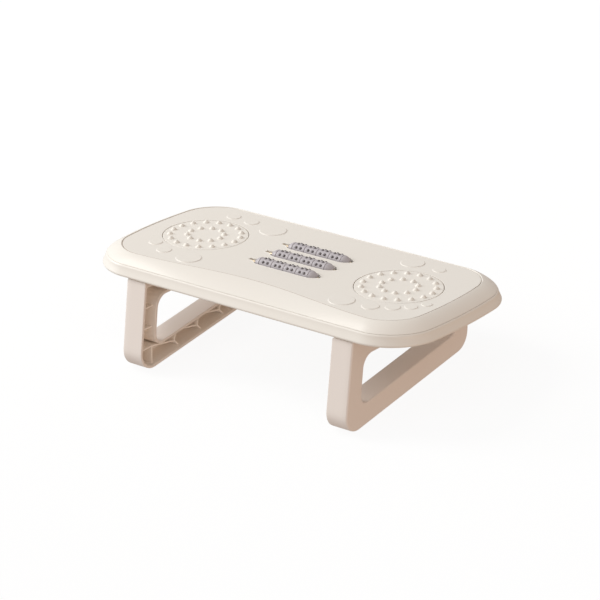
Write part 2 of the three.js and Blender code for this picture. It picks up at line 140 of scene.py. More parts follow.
# ---- Tray ---------------------------------------------------------------------------------
# The lower half of the top: an injection-moulded ABS dish with a sloped side wall, a ribbed
# deck, four knuckles for the leg pins and six posts under the ends of the axles. All sizes are
# in millimetres from the middle of the top's flat panel, before the top is tilted.
SLOPE = np.radians(8.5)
HALF_LONG, HALF_DEEP, CORNER, BOW = 200.0, 100.0, 50.0, 8.0
DECK_TOP, DECK_UNDER, DECK_INSET = -11.5, -14.0, 8.6
RIB_DEEP, RIB_THICK, RIB_TAPER = 6.0, 2.0, 0.25
PIN_X, PIN_Y, PIN_Z = 117.0, 62.0, -23.8
PIN_R, KNUCKLE_R = 1.5, 4.0
ROLLER_X, ROLLER_Z = 4.0, -2.0
ROLLER_Y = {"front": -24.5, "middle": 2.0, "rear": 28.5}
AXLE_ENDS, AXLE_R = (-41.0, 44.4), 1.5
POST_X, POST_Z, POST_SIZE = (AXLE_ENDS[0] + 2.5, AXLE_ENDS[1] - 1.1), -8.1, (2.2, 8, 8.6)
ALONG_Y = [[0, 1, 0], [-1, 0, 0], [0, 0, 1]]
joint_at = {j["name"]: np.array(j["pos_m"]) for j in frame["record"]["behaviour"]["joints"]}


def room(points):
    """Points of the level top, in millimetres from the middle of its panel, turned down by the
    slope and set so that the middle roller's axle lies on its joint, in metres."""
    p = np.asarray(points, float) - (ROLLER_X, ROLLER_Y["middle"], ROLLER_Z)
    c, s = np.cos(SLOPE), np.sin(SLOPE)
    turned = np.stack([p[:, 0], c * p[:, 1] + s * p[:, 2], c * p[:, 2] - s * p[:, 1]], 1)
    return turned * 0.001 + joint_at["spin_middle"]


def outline(half_x, half_y, radius, waist=0.0):
    """Plan curve of the top, anticlockwise: a rounded rectangle. With u and v a point's shares
    of the half length and half depth, x then moves inwards by BOW times u times v squared, and
    on the raised side y moves inwards by waist times v times a cosine bell in u."""
    ix, iy = half_x - radius, half_y - radius
    quarter = np.radians(np.linspace(0, 90, 24))
    end_points, side_points = 26, 70
    parts = []
    for k, (cx, cy, to_x, to_y, count) in enumerate([
            (ix, -iy, half_x, iy, end_points), (ix, iy, -ix, half_y, side_points),
            (-ix, iy, -half_x, -iy, end_points), (-ix, -iy, ix, -half_y, side_points)]):
        a = quarter + np.radians(90 * (k - 1))
        arc = np.stack([cx + radius * np.cos(a), cy + radius * np.sin(a)], 1)
        t = np.linspace(0, 1, count + 2)[1:-1, None]
        parts += [arc, arc[-1] + (np.array([to_x, to_y]) - arc[-1]) * t]
    x, y = np.concatenate(parts).T
    u, v = np.abs(x) / half_x, np.abs(y) / half_y
    bell = 0.5 + 0.5 * np.cos(np.pi * np.minimum(1, u / 0.85))
    return np.stack([x - np.sign(x) * BOW * v * v * u, y + np.where(y < 0, waist * bell * v, 0)], 1)


def rim(inset):
    """Outer outline of the top, drawn in by inset."""
    return outline(HALF_LONG - inset, HALF_DEEP - inset, max(CORNER - inset, 4))


def level(curve, z):
    """A plan curve lifted to one height."""
    return np.column_stack([curve, np.full(len(curve), z)])


def skin(rows, closed=False):
    """Surface through rows of points, each row a closed curve: four-sided faces between
    neighbouring rows, facing outwards where the curve runs anticlockwise and the rows climb.
    closed also joins the last row to the first."""
    rows = np.asarray(rows)
    r, n = rows.shape[:2]
    i, j = np.meshgrid(np.arange(r if closed else r - 1), np.arange(n), indexing="ij")
    a, b, up = i * n + j, i * n + (j + 1) % n, (i + 1) % r
    quads = np.stack([a, b, up * n + (j + 1) % n, up * n + j], -1).reshape(-1, 4)
    return rows.reshape(-1, 3), quads.tolist()


def inside(points, curves):
    """Whether each point lies inside an odd number of the closed curves: a line drawn from it
    along the first axis crosses their sides an odd number of times."""
    a, b = np.concatenate(curves), np.concatenate([np.roll(c, -1, 0) for c in curves])
    x, y = points[:, 0, None], points[:, 1, None]
    spans = (a[:, 1] > y) != (b[:, 1] > y)
    rise = np.where(b[:, 1] == a[:, 1], 1, b[:, 1] - a[:, 1])
    meets = a[:, 0] + (y - a[:, 1]) * (b[:, 0] - a[:, 0]) / rise
    return (spans & (meets > x)).sum(1) % 2 == 1


def flat(curves, z, up=True):
    """Flat web at one height between closed curves: the triangles of a Delaunay mesh through
    all the curves whose middles lie inside an odd number of them."""
    edges, start = [], 0
    for curve in curves:
        k = np.arange(len(curve))
        edges += (np.stack([k, (k + 1) % len(curve)], 1) + start).tolist()
        start += len(curve)
    corners = [Vector(p) for p in np.concatenate(curves).tolist()]
    found = delaunay_2d_cdt(corners, edges, [], 0, 1e-6)
    v, f = np.array([tuple(p) for p in found[0]]), np.array(found[2])
    f = f[inside(v[f].mean(1), curves)]
    p, q = v[f[:, 1]] - v[f[:, 0]], v[f[:, 2]] - v[f[:, 0]]
    wrong = (p[:, 0] * q[:, 1] - p[:, 1] * q[:, 0] < 0) == up
    f[wrong] = f[wrong][:, ::-1]
    return level(v, z), f.tolist()


def block(centre, size, soft=0.4, axes=np.eye(3), taper=0.0, steps=1):
    """Bar with soft edges: a rectangle with rounded corners carried along its first axis and
    drawn in along a quarter circle at both ends, each end closed by one flat face. taper
    narrows the second side towards the low end of the third."""
    long, wide, high = np.array(size) / 2
    q = np.radians(np.linspace(0, 90, 4))
    turn = (np.radians([0, 90, 180, 270])[:, None] + q).ravel()
    cy = np.repeat([1, -1, -1, 1], len(q)) * (wide - soft)
    cz = np.repeat([1, 1, -1, -1], len(q)) * (high - soft)
    middle = np.linspace(-long + soft, long - soft, steps + 1)
    along = np.concatenate([-long + soft - soft * np.cos(q[:-1]), middle,
                            long - soft + soft * np.sin(q[1:])])
    inset = np.concatenate([soft * (1 - np.sin(q[:-1])), 0 * middle, soft * (1 - np.cos(q[1:]))])
    reach = soft - inset[:, None]
    local = np.stack([np.broadcast_to(along[:, None], (len(along), len(turn))),
                      cy + reach * np.cos(turn), cz + reach * np.sin(turn)], -1)
    local[..., 1] *= 1 - taper * (0.5 - local[..., 2] / (2 * high))
    points, faces = skin(local @ np.asarray(axes) + np.asarray(centre))
    first, last = range(len(turn)), range(len(points) - len(turn), len(points))
    return points, faces + [list(first)[::-1], list(last)]


def make(name, body, cad, parts, finish, slot, crease=40, **values):
    """Joins parts, each (points, faces), into one mesh in the room, welds shared points, drops
    loose ones, marks edges sharper than crease, ties the piece to its body and hides the nodes
    it stands for. values are numbers per point that the finish reads."""
    points, faces, start = [], [], 0
    for p, f in parts:
        points.append(p)
        faces += [[k + start for k in one] for one in f]
        start += len(p)
    mesh = bpy.data.meshes.new(name)
    mesh.from_pydata(room(np.concatenate(points)).tolist(), [], faces)
    for key, value in values.items():
        mesh.attributes.new(key, "FLOAT", "POINT").data.foreach_set("value", value)
    welded = bmesh.new()
    welded.from_mesh(mesh)
    bmesh.ops.remove_doubles(welded, verts=welded.verts, dist=1e-6)
    bmesh.ops.delete(welded, geom=[v for v in welded.verts if not v.link_faces])
    welded.to_mesh(mesh)
    welded.free()
    mesh.shade_smooth()
    mesh.set_sharp_from_angle(angle=np.radians(crease))
    mesh.materials.append(finish)
    piece = bpy.data.objects.new(name, mesh)
    bpy.context.collection.objects.link(piece)
    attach(piece, body)
    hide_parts(*cad)
    return piece


def moulded(name, colour, drift, rough, grain_mm, grain_depth, mark=None):
    """Moulded plastic: a colour that drifts slightly over about 70 mm as pigment does in the
    flow, the grain of an eroded mould as bump, and a gloss that varies with both. The grain is
    drawn coarser than a real one, so that it shows. mark, a value per point and a colour, moves
    the colour to that one by the value."""
    made = bpy.data.materials.new(name)
    made.use_nodes = True
    tree = made.node_tree
    tree.nodes.clear()
    place = add(tree, "TexCoord").outputs["Object"]
    flow = add(tree, "TexNoise", {"Vector": place, "Scale": 14.0, "Detail": 2.0, "Distortion": 0.6})
    speck = add(tree, "TexNoise", {"Vector": place, "Scale": 1000 / grain_mm, "Detail": 3.0,
                                   "Roughness": 0.6})
    base = add(tree, "Mix", {0: flow.outputs[0], 6: linear(colour), 7: linear(drift)},
               data_type="RGBA").outputs[2]
    if mark:
        part = add(tree, "Attribute", attribute_name=mark[0]).outputs["Fac"]
        base = add(tree, "Mix", {0: part, 6: base, 7: linear(mark[1])},
                   data_type="RGBA").outputs[2]
    fine = add(tree, "MapRange", {"Value": speck.outputs[0], "From Min": 0.3, "From Max": 0.7,
                                  "To Min": rough - 0.05, "To Max": rough + 0.07})
    broad = add(tree, "MapRange", {"Value": flow.outputs[0], "From Min": 0.3, "From Max": 0.7,
                                   "To Min": -0.03, "To Max": 0.03})
    gloss = add(tree, "Math", {0: fine.outputs[0], 1: broad.outputs[0]}, operation="ADD")
    grain = add(tree, "Bump", {"Height": speck.outputs[0], "Strength": 0.35,
                               "Distance": grain_depth})
    shader = add(tree, "BsdfPrincipled", {"Base Color": base, "Roughness": gloss.outputs[0],
                                          "Normal": grain.outputs[0], "IOR": 1.5})
    add(tree, "OutputMaterial", {"Surface": shader.outputs[0]})
    return made


def knuckle(x, y):
    """Hinge knuckle seen along the pin: for each angle the nearer of a flat side and a flat top
    that lies in the deck, or below the pin a plain radius, carried along the pin with softened
    rims and back through the bore. The angles run clockwise, so that the skin faces outwards."""
    a = -np.radians(np.arange(3.75, 360, 7.5))
    to_deck = DECK_UNDER + 0.4 - PIN_Z
    square = np.minimum(KNUCKLE_R / np.abs(np.cos(a)), to_deck / np.maximum(np.sin(a), 1e-6))
    edge = np.where(np.sin(a) > 0, square, KNUCKLE_R)
    bore = np.full(len(a), PIN_R + 0.1)
    rows = [(bore, -5.7), (bore + 0.3, -6.0), (edge - 0.5, -6.0), (edge - 0.12, -5.8), (edge, -5.5)]
    rows += [(r, -d) for r, d in rows[::-1]]
    return skin([np.stack([x + r * np.cos(a), np.full(len(a), y + d), PIN_Z + r * np.sin(a)], 1)
                 for r, d in rows], closed=True)


# ABS from a finely eroded mould has a satin skin: broad soft highlights along the crown and no
# sharp glints. Its groove and recesses are painted darker: painted shade where little light falls.
cream_abs = moulded("moulded_cream_ABS", "#ebe6de", "#e9e3da", 0.37, 0.45, 0.00003,
                    mark=("dust", "#b9ac9f"))

# The wall's section, each (inset from the rim, height), from the deck's underside out round the
# lower edge, up to the parting line and in to the deck's top.
wall_section = [
    (DECK_INSET, DECK_UNDER), (8.0, DECK_UNDER), (7.75, -14.2), (7.6, -14.6), (4.6, -19.5),
    (4.35, -19.88), (4.0, -20), (1.8, -20), (1.1, -19.9), (0.55, -19.55), (0.2, -19.0),
    (0.03, -18.4), (0.06, -17.8), (0.35, -17.2), (1.6, -14.5), (2.7, -11.9), (3.05, -10.6),
    (3.12, -10.25), (3.3, -9.9), (3.75, -9.25), (4.05, -8.9), (4.4, -8.75), (4.8, -8.72),
    (7.2, -8.72), (7.55, -8.7), (7.7, -9.0), (7.7, -11.0), (7.85, -11.35), (8.2, DECK_TOP),
    (DECK_INSET, DECK_TOP)]
tray_parts = [skin([level(rim(inset), z) for inset, z in wall_section]),
              flat([rim(DECK_INSET)], DECK_TOP), flat([rim(DECK_INSET)], DECK_UNDER, up=False)]
rib_z = DECK_UNDER + 0.5 - RIB_DEEP / 2
for x, long in [(-150, 179.0), (-88, 191.0), (-30, 191.0), (30, 191.0), (88, 191.0), (150, 179.0)]:
    tray_parts.append(block((x, 0, rib_z), (long, RIB_THICK, RIB_DEEP), 0.35, ALONG_Y, RIB_TAPER))
for y in (-52, 0, 52):
    long = 2 * (194.5 - BOW * (y / HALF_DEEP) ** 2)
    tray_parts.append(block((0, y, rib_z), (long, RIB_THICK, RIB_DEEP), 0.35, taper=RIB_TAPER))
for side in (-1, 1):
    for end in (-1, 1):
        tray_parts.append(knuckle(side * PIN_X, end * PIN_Y))
for y in ROLLER_Y.values():
    for x in POST_X:
        tray_parts.append(block((x, y, POST_Z), POST_SIZE, 0.3))
make("tray_shell", "top", ["tray"], tray_parts, cream_abs, "cream_plastic")


# ---- Axles --------------------------------------------------------------------------------
# Three plain steel rods, cropped and tumbled, laid on the tray's posts. Their zinc plating is
# passivated, and their ends show in the panel's slots.
def rod(start, end, radius, axis, soft=0.35):
    """Round rod: a circle carried along the axis and drawn in along a quarter circle at both
    ends, with the ends closed on a point."""
    a = np.linspace(0, 2 * np.pi, 40, endpoint=False)
    q = np.radians(np.linspace(0, 90, 5))
    length = np.linalg.norm(np.subtract(end, start))
    steps = [(0, 0), *zip(soft * (1 - np.cos(q)), radius - soft * (1 - np.sin(q)))]
    steps += [(length - s, r) for s, r in steps[::-1]]
    u, v, w = np.roll(np.eye(3), -"xyz".index(axis), 0)
    return skin([start + u * s + r * (np.cos(a)[:, None] * v + np.sin(a)[:, None] * w)
                 for s, r in steps])


def plated(name, colour, tint, rough, grain_mm):
    """Plated steel: a metal whose tint wanders between two tones over about 4 mm, with drawn
    scratches, stretched along the length, that raise the roughness. They are drawn coarser than
    real ones, so that they show."""
    made = bpy.data.materials.new(name)
    made.use_nodes = True
    tree = made.node_tree
    tree.nodes.clear()
    place = add(tree, "TexCoord").outputs["Object"]
    cloud = add(tree, "TexNoise", {"Vector": place, "Scale": 260.0, "Detail": 3.0})
    stretched = add(tree, "Mapping", {"Vector": place, "Scale": (0.08, 1, 1)})
    drawn = add(tree, "TexNoise", {"Vector": stretched.outputs[0], "Scale": 1000 / grain_mm,
                                   "Detail": 2.0})
    tone = add(tree, "Mix", {0: cloud.outputs[0], 6: linear(colour), 7: linear(tint)},
               data_type="RGBA")
    gloss = add(tree, "MapRange", {"Value": drawn.outputs[0], "From Min": 0.3, "From Max": 0.7,
                                   "To Min": rough - 0.06, "To Max": rough + 0.12})
    bump = add(tree, "Bump", {"Height": drawn.outputs[0], "Strength": 0.2, "Distance": 0.00001})
    shader = add(tree, "BsdfPrincipled", {"Base Color": tone.outputs[2], "Metallic": 0.85,
                                          "Roughness": gloss.outputs[0],
                                          "Normal": bump.outputs[0]})
    add(tree, "OutputMaterial", {"Surface": shader.outputs[0]})
    return made


# Zinc plate with a yellow passivation looks brassy and a little cloudy.
axle_steel = plated("yellow_plated_steel", "#d6c6ae", "#c4b195", 0.42, 0.5)
for row, y in ROLLER_Y.items():
    axle = rod((AXLE_ENDS[0], y, ROLLER_Z), (AXLE_ENDS[1], y, ROLLER_Z), AXLE_R, "x")
    make(f"axle_rod_{row}", "top", [f"axle_{row}"], [axle], axle_steel, "steel")


# ---- Rollers ------------------------------------------------------------------------------
# Each axle carries four drums of soft grey TPE and a cone at each end. A drum has eight rows of
# two rounded studs, each in a shallow moat, moulded in one with it.
DRUM_R, DRUM_HALF, DRUM_PITCH, DRUM_BORE = 6.6, 7.3, 14.9, 1.6
STUD_R, STUD_H, STUD_AT, STUD_ROWS, STUD_TURN = 1.3, 1.0, 2.7, 8, 4
MOAT_R, MOAT_WIDE, MOAT_DEEP = 1.62, 0.22, 0.16
CONE_LONG, CONE_FALL = 7.6, 4.22

# Moulded TPE has a dull, slightly soft sheen. Studs and moats get painted shade, a darker grey.
grey_tpe = moulded("moulded_grey_TPE", "#bab4b7", "#b1abae", 0.42, 0.30, 0.00004,
                   mark=("stud", "#6a6466"))


def drum(x0, y):
    """Drum round the axle: its radius at each angle and length is the plain radius plus a
    round-topped stud, which falls off with the fourth power of the distance from the stud's
    middle, less a narrow moat round its foot; the ends turn in to the bore. Also gives each
    point its share of the painted shade that darkens the studs and their moats."""
    a = np.linspace(0, 2 * np.pi, 144, endpoint=False)
    end = [(DRUM_HALF, DRUM_BORE), (DRUM_HALF, 3.6), (DRUM_HALF, 6.05), (7.22, 6.33), (7.05, 6.52),
           (6.8, DRUM_R)]
    body = np.linspace(-6.5, 6.5, 44)
    s = np.concatenate([[-d for d, _ in end], body, [d for d, _ in end[::-1]]])
    plain = np.concatenate([[r for _, r in end], np.full(len(body), DRUM_R),
                            [r for _, r in end[::-1]]])
    near = np.full((len(s), len(a)), 99.0)
    for k in range(STUD_ROWS):
        off = (a - np.radians(STUD_TURN + 360 / STUD_ROWS * k) + np.pi) % (2 * np.pi) - np.pi
        for d in (-STUD_AT, STUD_AT):
            near = np.minimum(near, np.hypot(s[:, None] - d, DRUM_R * off[None, :]))
    on_body = (np.abs(s) < 6.6)[:, None]
    stud = np.where(on_body, np.clip(1 - (near / STUD_R) ** 4, 0, 1), 0)
    moat = np.where(on_body, np.exp(-((near - MOAT_R) / MOAT_WIDE) ** 2), 0)
    r = plain[:, None] + STUD_H * stud ** 0.7 - MOAT_DEEP * moat
    rows = np.stack([np.broadcast_to(x0 + s[:, None], r.shape), y + r * np.cos(a),
                     ROLLER_Z + r * np.sin(a)], -1)
    # Painted shade: each stud and its moat are darkened, fading out just past the moat.
    stud_painted_shade = np.where(on_body, np.clip((1.75 - near) / 0.3, 0, 1), 0)
    return skin(rows, closed=True), stud_painted_shade.ravel()


def cone(x0, y, hand):
    """End cone: its radius falls from the drum's by the distance to the power 1.9; both ends
    turn in to the bore. hand is 1 for the right end and -1 for its mirror image."""
    s = np.linspace(0.5, 7.2, 24)
    profile = [(0, DRUM_BORE), (0, 5.9), (0.1, 6.25), (0.3, 6.48),
               *zip(s, DRUM_R - CONE_FALL * (s / CONE_LONG) ** 1.9),
               (7.45, 2.35), (CONE_LONG, 2.1), (CONE_LONG, DRUM_BORE)]
    a = np.linspace(0, 2 * np.pi, 72, endpoint=False)
    rows = [np.stack([np.full(len(a), x0 + hand * d), y + r * np.cos(a),
                      ROLLER_Z + r * np.sin(a)], 1) for d, r in profile[::hand]]
    return skin(rows, closed=True)


for row, y in ROLLER_Y.items():
    for i in range(4):
        shape, stud_painted_shade = drum(ROLLER_X + (i - 1.5) * DRUM_PITCH, y)
        make(f"stud_drum_{row}_{i + 1}", f"roller_{row}", [f"drum_{row}_{i + 1}"], [shape],
             grey_tpe, "grey_plastic", stud=stud_painted_shade)
    for hand, name in ((-1, "left"), (1, "right")):
        shape = cone(ROLLER_X + hand * (2 * DRUM_PITCH + 0.15), y, hand)
        # The cones carry none of the studs' painted shade.
        make(f"end_cone_{row}_{name}", f"roller_{row}", [f"cone_{row}_{name}"], [shape],
             grey_tpe, "grey_plastic", stud=np.zeros(len(shape[0])))


# ---- Cover --------------------------------------------------------------------------------
# The upper half of the top, moulded in the same ABS: a flat panel with raised discs, recesses
# for the pads, slots for the rollers and a fine groove round it, and a crowned rim that comes
# down to the parting line on the tray.
PANEL_X, PANEL_Y, PANEL_CORNER, WAIST = 182.0, 83.0, 35.0, 13.0
CROWN_TOP, CROWN_DROP, COVER_EDGE, COVER_THICK = 0.3, 8.6, -8.6, 3.0
PAD_AT, PAD_Y, RECESS_R, RECESS_DEEP = 119.0, 2.0, 43.7, 2.2
ROUND_SIDES = 160
# x, y and radius of each raised disc
DISCS = [(-130, 61, 7.4), (-105, 59, 7.8), (-72, 52, 14), (-145, -45, 7.1), (-124, -57, 7.7),
         (-90, -60, 13), (93, 62, 12.1), (125, 61.5, 6.6), (97, -60, 13), (127.5, -56, 8.7),
         (146, -46, 7.4), (159, -34.5, 6.5), (167, -20.5, 5.4)]


def groove(inset):
    """Outline of the flat panel at the groove, drawn in by inset."""
    return outline(PANEL_X - inset, PANEL_Y - inset, PANEL_CORNER - inset, WAIST)


def circle(x, y, r, sides=72):
    """A circle in plan, anticlockwise."""
    a = np.linspace(0, 2 * np.pi, sides, endpoint=False)
    return np.stack([x + r * np.cos(a), y + r * np.sin(a)], 1)


def roller_slot(y, grow):
    """Outline of the slot for one row of rollers: its half width follows the drums, closes in
    over the cones and stays narrow over the axle ends; grow moves it outwards along its normal."""
    # each (distance from the row's middle, half width)
    half = [(30.4, 8.1), (31.8, 7.8), (33.6, 7.0), (35.6, 5.8), (37.4, 4.5), (38.8, 3.5),
            (39.9, 2.4)]
    left = [(AXLE_ENDS[0] - 0.4, 2.1)] + [(ROLLER_X - d, w) for d, w in half[::-1]]
    right = [(ROLLER_X + d, w) for d, w in half] + [(AXLE_ENDS[1] + 0.5, 2.1)]
    rear = np.array(left + right)
    ring = np.concatenate([rear * (1, -1), rear[::-1]])
    ahead, behind = np.roll(ring, -1, 0) - ring, ring - np.roll(ring, 1, 0)
    ahead /= np.linalg.norm(ahead, axis=1)[:, None]
    behind /= np.linalg.norm(behind, axis=1)[:, None]
    away = np.stack([(ahead + behind)[:, 1], -(ahead + behind)[:, 0]], 1)
    away /= (1 + (ahead * behind).sum(1))[:, None]
    return ring + away * grow + (0, y)


# The crown climbs from the cover's edge to the groove, steeply at first and then nearly level.
crown_edge, crown_lip = rim(4.5), groove(-0.35)
crown_rows = [level(rim(7.5), COVER_EDGE), level(rim(5.0), COVER_EDGE), level(rim(4.7), -8.54),
              level(rim(4.55), -8.3)]
for t in np.linspace(0.03, 1, 30):
    fall = 0.6 * (1 - t) + 0.4 * (1 - t) ** 2
    curve = crown_edge + (crown_lip - crown_edge) * t
    crown_rows.append(level(curve, CROWN_TOP - CROWN_DROP * fall))

# The groove is a V with rounded shoulders. Each row is (inset, height, share of painted shade).
crown_dust = [0.0] * len(crown_rows)
for inset, z, share in [
        (-0.15, 0.34, 0), (0.02, 0.32, 0), (0.15, 0.24, 0), (0.3, 0.08, 0), (0.5, -0.2, 0.2),
        (0.7, -0.45, 0.4), (0.9, -0.6, 0.6), (1.08, -0.62, 0.9), (1.2, -0.55, 1), (1.27, -0.35, 1),
        (1.32, -0.12, 1), (1.42, -0.03, 0.5), (1.6, 0, 0), (2.0, 0, 0)]:
    crown_rows.append(level(groove(inset), z))
    crown_dust.append(share)
under_out, under_in = rim(7.5), groove(2.0)
under_rows = [level(under_out + (under_in - under_out) * t, z) for t, z in
              [(1.0, -COVER_THICK), (0.9, -COVER_THICK), (0.75, -3.3), (0.5, -4.6), (0.3, -6.0),
               (0.1, -7.8), (0.0, COVER_EDGE)]]
cover_parts = [(skin(under_rows + crown_rows[:1]), 0.0),
               (skin(crown_rows), np.repeat(crown_dust, len(crown_edge)))]

# Sections of the openings' edges, each (distance outside the edge, height): a fine bead round
# the slots, a plain rounded lip round the recesses.
bead = [(1.2, 0), (0.8, 0), (0.68, 0.1), (0.5, 0.22), (0.3, 0.24), (0.12, 0.12), (0.02, -0.1),
        (0, -0.4), (0, -COVER_THICK)]
recess = [(0.8, 0), (0.5, 0), (0.25, -0.04), (0.08, -0.15), (0, -0.4), (0, -2.0),
          (-0.2, -RECESS_DEEP), (-RECESS_R, -RECESS_DEEP)]
for y in ROLLER_Y.values():
    cover_parts.append((skin([level(roller_slot(y, grow), z) for grow, z in bead]), 0.0))
for side in (-1, 1):
    points, faces = skin([level(circle(side * PAD_AT, PAD_Y, RECESS_R + grow, ROUND_SIDES), z)
                          for grow, z in recess])
    # Below 0.1 mm down the recess is painted darker: painted shade in the gap round the pad.
    cover_parts.append(((points, faces), np.clip((-0.1 - points[:, 2]) / 0.25, 0, 1)))
for x, y, r in DISCS:
    rows = [(r + 0.6, 0), (r + 0.25, 0), (r + 0.02, 0.05), (r - 0.12, 0.18), (r - 0.28, 0.42),
            (r - 0.45, 0.55), (r - 0.7, 0.6), (r - 1.1, 0.6), (0.0, 0.6)]
    cover_parts.append((skin([level(circle(x, y, q), z) for q, z in rows]), 0.0))
slot_edges = [roller_slot(y, bead[0][0]) for y in ROLLER_Y.values()]
pad_edges = [circle(side * PAD_AT, PAD_Y, RECESS_R + recess[0][0], ROUND_SIDES) for side in (-1, 1)]
disc_edges = [circle(x, y, r + 0.6) for x, y, r in DISCS]
cover_parts.append((flat([under_in] + slot_edges + pad_edges + disc_edges, 0.0), 0.0))
cover_parts.append((flat([under_in] + [roller_slot(y, 0) for y in ROLLER_Y.values()],
                         -COVER_THICK, up=False), 0.0))
# The groove and the recesses carry painted shade; the rest of the cover carries none.
dust = np.concatenate([np.broadcast_to(share, len(part[0])) for part, share in cover_parts])
make("cover_shell", "top", ["cover"], [part for part, _ in cover_parts], cream_abs,
     "cream_plastic", dust=dust)


# ---- Massage pads -------------------------------------------------------------------------
# Two round plates of cream plastic, a little softer than the cover's, pressed into its
# recesses. Each has an outer ring of seventeen pointed domes and an inner ring of ten.
NUB_R, NUB_H, NUB_FOOT, NUB_SIDES = 2.9, 2.7, 3.9, 24
NUB_RINGS = [(17, 36.2, 1.5), (10, 18.6, 0.5)]

# Soft TPE is duller than the cover, so the domes carry wide, weak highlights.
cream_pad = moulded("moulded_cream_TPE", "#ebe6de", "#eae4db", 0.46, 0.35, 0.00003)


def nub(x, y):
    """One massage dome: it rises by the power 0.9 as its radius closes in by the power 0.62,
    and it runs into the plate over a small fillet."""
    t = np.linspace(0, 1, 9)
    rows = [(NUB_FOOT, 0), (3.55, 0), (3.2, 0.07), (2.98, 0.25)]
    rows += [*zip(NUB_R * (1 - t) ** 0.62, 0.5 + (NUB_H - 0.5) * t ** 0.9)]
    return skin([level(circle(x, y, r, NUB_SIDES), z) for r, z in rows])


for side, name, turn in ((-1, "left", 0.0), (1, "right", 5.0)):
    parts, holes = [], []
    for count, ring_r, first in NUB_RINGS:
        for a in np.radians(first + turn + 360 * np.arange(count) / count):
            at = (side * PAD_AT + ring_r * np.cos(a), PAD_Y + ring_r * np.sin(a))
            parts.append(nub(*at))
            holes.append(circle(*at, NUB_FOOT, NUB_SIDES))
    plate = [(0.0, -1.9), (42.9, -1.9), (43.2, -1.6), (43.2, -0.5), (43.1, -0.2), (42.85, -0.04),
             (42.5, 0), (42.1, 0)]
    edges = [circle(side * PAD_AT, PAD_Y, r, ROUND_SIDES) for r, _ in plate]
    parts.append(skin([level(edge, z) for edge, (_, z) in zip(edges, plate)]))
    parts.append(flat([edges[-1]] + holes, 0.0))
    make(f"massage_pad_{name}", "top", [f"pad_{name}"], parts, cream_pad, "cream_plastic")


# ---- Screws -------------------------------------------------------------------------------
# Eight pan-head screws of plated steel with a cross recess, driven up through the deck to hold
# the tray to the cover.
HEAD_R, HEAD_H = 3.2, 2.1
CROSS_ARM, CROSS_REACH, CROSS_DEEP = 0.42, 1.9, 1.0


def screw(x, y):
    """Screw head seen from below: its depth under the deck is a flat dome less a cross-shaped
    recess, which is deep where the distance from either arm is small; a lid closes its top. The
    angles run clockwise, so that the skin faces downwards."""
    top = DECK_UNDER - 0.3
    a = np.linspace(0, 2 * np.pi, 48, endpoint=False)
    r = np.concatenate([np.linspace(0, 2.7, 22), [2.9, 3.05, 3.15, HEAD_R, HEAD_R]])
    down = HEAD_H - 0.45 * (r / 2.9) ** 4 - np.where(r > 2.95, 0.6 * (r - 2.95) / 0.25, 0)
    down[-1] = 0
    px, py = r[:, None] * np.cos(a), r[:, None] * np.sin(a)
    arm = np.minimum(np.abs(px), np.abs(py))
    cross = np.clip((CROSS_ARM - arm) / 0.12, 0, 1)
    cross *= np.clip((CROSS_REACH - r[:, None]) / 0.3, 0, 1)
    rows = np.stack([x + px, y - py, top - down[:, None] + CROSS_DEEP * cross], -1)
    lid = [level(np.stack([x + q * np.cos(a), y - q * np.sin(a)], 1), top) for q in (HEAD_R, 0)]
    return skin(np.concatenate([rows, lid]))


# Bright zinc plate is a clear pale grey with sharper glints than the axles'.
screw_steel = plated("bright_plated_steel", "#b9b5ae", "#a8a49d", 0.30, 0.3)
spots = [(s * u, t * v) for s in (-1, 1) for u, v in ((176, 40), (62, 80)) for t in (-1, 1)]
for i, (x, y) in enumerate(spots):
    shank = rod((x, y, -14.6), (x, y, -7.5), 1.4, "z")
    make(f"deck_screw_{i + 1}", "top", [f"screw_{i + 1}"], [screw(x, y), shank], screw_steel,
         "steel")


# ---- Legs ---------------------------------------------------------------------------------
# Each leg is one injection-moulded PP loop: a channel open towards the middle of the stool and
# stiffened by ribs. Two notches in its top bar take the tray's knuckles, and a steel pin through
# each lets the leg fold. The sizes are the right leg's, and the left one is its mirror image.
LEG_IN, LEG_OUT, WALL, RIB_IN = 114.0, 138.0, 3.0, 4.5
BAR_TOP, TUCK_R, PIN_HALF = -20.8, 3.0, 17.0
TOP_Y = [88, 78, 72, 68.5, 62, 55.5, 51, 46, 34, 17, 0,
         -17, -34, -46, -51, -55.5, -62, -68.5, -72, -78, -88]

# PP is waxier than ABS and has a dull sheen. Painted light makes the hollow's faces paler.
leg_pp = moulded("moulded_cream_PP", "#ece3dc", "#eae0d8", 0.44, 0.55, 0.00003,
                 mark=("core", "#fbf3ea"))


